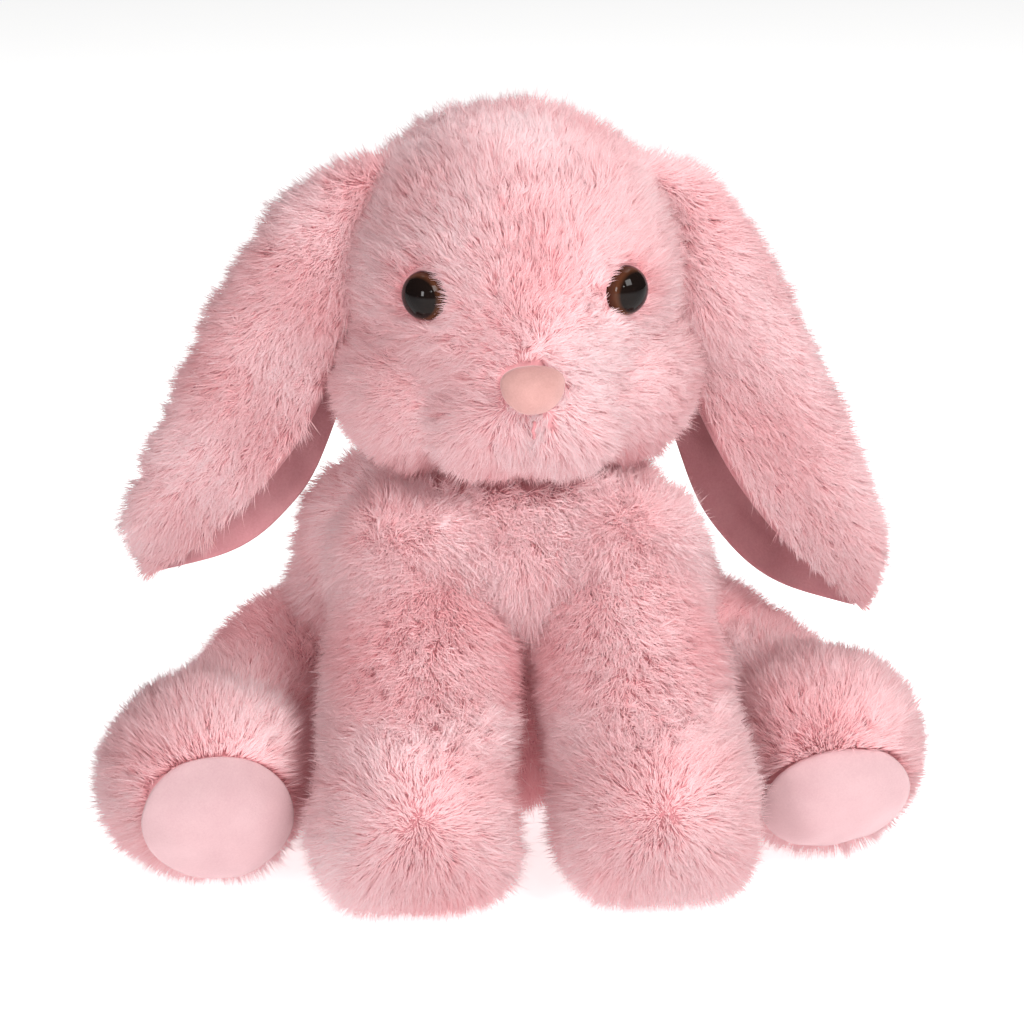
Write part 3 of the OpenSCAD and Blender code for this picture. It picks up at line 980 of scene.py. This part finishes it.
def build_ear(side):
    sign = SIDES[side]
    body = f"{side}_ear"
    outer = ear_grid(side, 0.0, 0.02)
    inner = ear_grid(side, 1.6, 0.03)
    back = sheet_solid(f"{side}_ear_fur_side", outer, inner, SKIN, sign > 0)
    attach(back, body)
    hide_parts(f"{side}_ear_back")
    first = ear_grid(side, 1.8, 0.0)
    second = ear_grid(side, 3.2, 0.01)
    lining = sheet_solid(f"{side}_ear_velour", first, second, EAR_VELOUR, sign > 0)
    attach(lining, body)
    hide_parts(f"{side}_ear_lining")
    hinge = joint_place(f"{side}_ear_lift")
    down = ear_world(vec(0, 0, -1.0)[None], side)[0] - hinge
    outward = ear_world(vec(1.0, 0, 0)[None], side)[0] - hinge

    roots = ear_grid(side, 0.0, 0.0, -0.07, (-0.95, 0.91))
    only = outer_sheet(f"{side}_ear_rootsheet", roots, sign > 0)

    def comb(p, normal):
        """Down the ear, and out towards the fold, so that the pile fans at the outer edge."""
        fan = np.clip(normal @ outward, 0, 1)[:, None]
        return down * (1 - 0.3 * fan) + outward * (0.55 - 0.3 * fan) + vec(0, -0.1, 0)

    def trim(p):
        """Shorter at the tip, so that the pile does not hang over the velour."""
        return 1 - 0.35 * np.clip((hinge[2] - p[:, 2] - 125 * MM) / (25 * MM), 0, 1)

    fur(f"{side}_ear_fur", only, body, comb, 4.4, 8.5 * MM, 0.86, 0.23 * MM, seed=60 + sign, trim=trim)
    bpy.data.objects.remove(only)


def outer_sheet(name, outer, flip):
    """The open face on which an ear's pile is rooted."""
    faces = []
    for i in range(EAR_ROWS - 1):
        for j in range(EAR_COLS - 1):
            a = i * EAR_COLS + j
            faces.append((a, a + 1, a + EAR_COLS + 1, a + EAR_COLS))
    if flip:
        faces = [f[::-1] for f in faces]
    return piece(name, outer, faces, SKIN)


# ---- inner pieces keep their CAD shape ----

def dress_inner():
    """Fibre, pellet bag or washer plastic on the CAD pieces that nothing else stands for."""
    looks = {"stuffing": FIBRE, "pouch": POUCH, "washer": WASHER}
    for node, obj in frame["nodes"].items():
        for word, mat in looks.items():
            if word in node:
                obj.data.materials.clear()
                obj.data.materials.append(mat)


# ---- stage ----

FLOOR_HALF = 4.0
AIM = vec(0.0008, 0, 0.1171)
TURN, RISE = math.radians(-6.5), math.radians(16.24)
AWAY = 1.6
SEEN_WIDTH = 0.3578      # how wide the view is at the aim
SENSOR = 36


def build_stage():
    build_floor()
    build_room()
    light("key", (0.75, -1.15, 1.25), (0.75, 0.75), 25, (1, 0.99, 0.975))
    light("fill", (-0.85, -1.25, 0.55), (0.26, 0.46), 8, (1, 0.985, 0.985))
    light("above", (0.1, 0.55, 1.25), (0.9, 0.9), 9, (1, 0.99, 0.985))
    light("catch", (0.15, -1.6, 0.95), (0.12, 0.12), 2.4, (1, 1, 1))
    bpy.context.scene.view_settings.view_transform = "Standard"
    build_camera()


def build_floor():
    """A plain white floor that glows a little, so that it stays pale under the toy."""
    h = FLOOR_HALF
    white = cloth_material("pale_floor", (0.93, 0.93, 0.93), (0.95, 0.95, 0.95), 0.5, 0.05, 0.0, 0.0)
    floor = piece("floor", [(-h, -h, 0), (h, -h, 0), (h, h, 0), (-h, h, 0)], [(0, 1, 2, 3)], white)
    shader = floor.active_material.node_tree.nodes["Principled BSDF"]
    shader.inputs["Emission Color"].default_value = (1, 1, 1, 1)
    shader.inputs["Emission Strength"].default_value = 0.72


def build_room():
    """White light from all round, weaker from the side of the camera."""
    world = bpy.data.worlds.new("studio")
    bpy.context.scene.world = world
    world.use_nodes = True
    nodes, links = world.node_tree.nodes, world.node_tree.links
    way = nodes.new("ShaderNodeTexCoord")
    split = nodes.new("ShaderNodeSeparateXYZ")
    room = nodes.new("ShaderNodeMapRange")
    room.inputs["From Min"].default_value = -0.55
    room.inputs["From Max"].default_value = 0.25
    room.inputs["To Min"].default_value = 0.62
    room.inputs["To Max"].default_value = 1.02
    links.new(way.outputs["Generated"], split.inputs[0])
    links.new(split.outputs["Y"], room.inputs["Value"])
    links.new(room.outputs["Result"], nodes["Background"].inputs["Strength"])


def build_camera():
    """In front of the toy, a little to its right and above, and aimed at its middle."""
    back = vec(math.sin(TURN) * math.cos(RISE), -math.cos(TURN) * math.cos(RISE), math.sin(RISE))
    data = bpy.data.cameras.new("camera")
    data.sensor_width = SENSOR
    data.lens = SENSOR * AWAY / SEEN_WIDTH
    camera = bpy.data.objects.new("camera", data)
    camera.location = AIM + AWAY * back
    camera.rotation_euler = Vector(-back).to_track_quat("-Z", "Y").to_euler()
    bpy.context.scene.collection.objects.link(camera)
    bpy.context.scene.camera = camera


def light(name, place, size, power, colour):
    """A soft rectangular light that looks at the toy."""
    data = bpy.data.lights.new(name, "AREA")
    data.shape = "RECTANGLE"
    data.size, data.size_y = size
    data.energy = power
    data.color = colour
    obj = bpy.data.objects.new(name, data)
    obj.location = place
    to_toy = Vector((0, 0, 0.14)) - Vector(place)
    obj.rotation_euler = to_toy.to_track_quat("-Z", "Y").to_euler()
    bpy.context.scene.collection.objects.link(obj)


build_stage()
build_head()
build_nose()
build_stitch()
build_body()
build_tail()
for name in SIDES:
    build_eye(name)
    build_arm(name)
    build_leg(name)
    build_ear(name)
dress_inner()
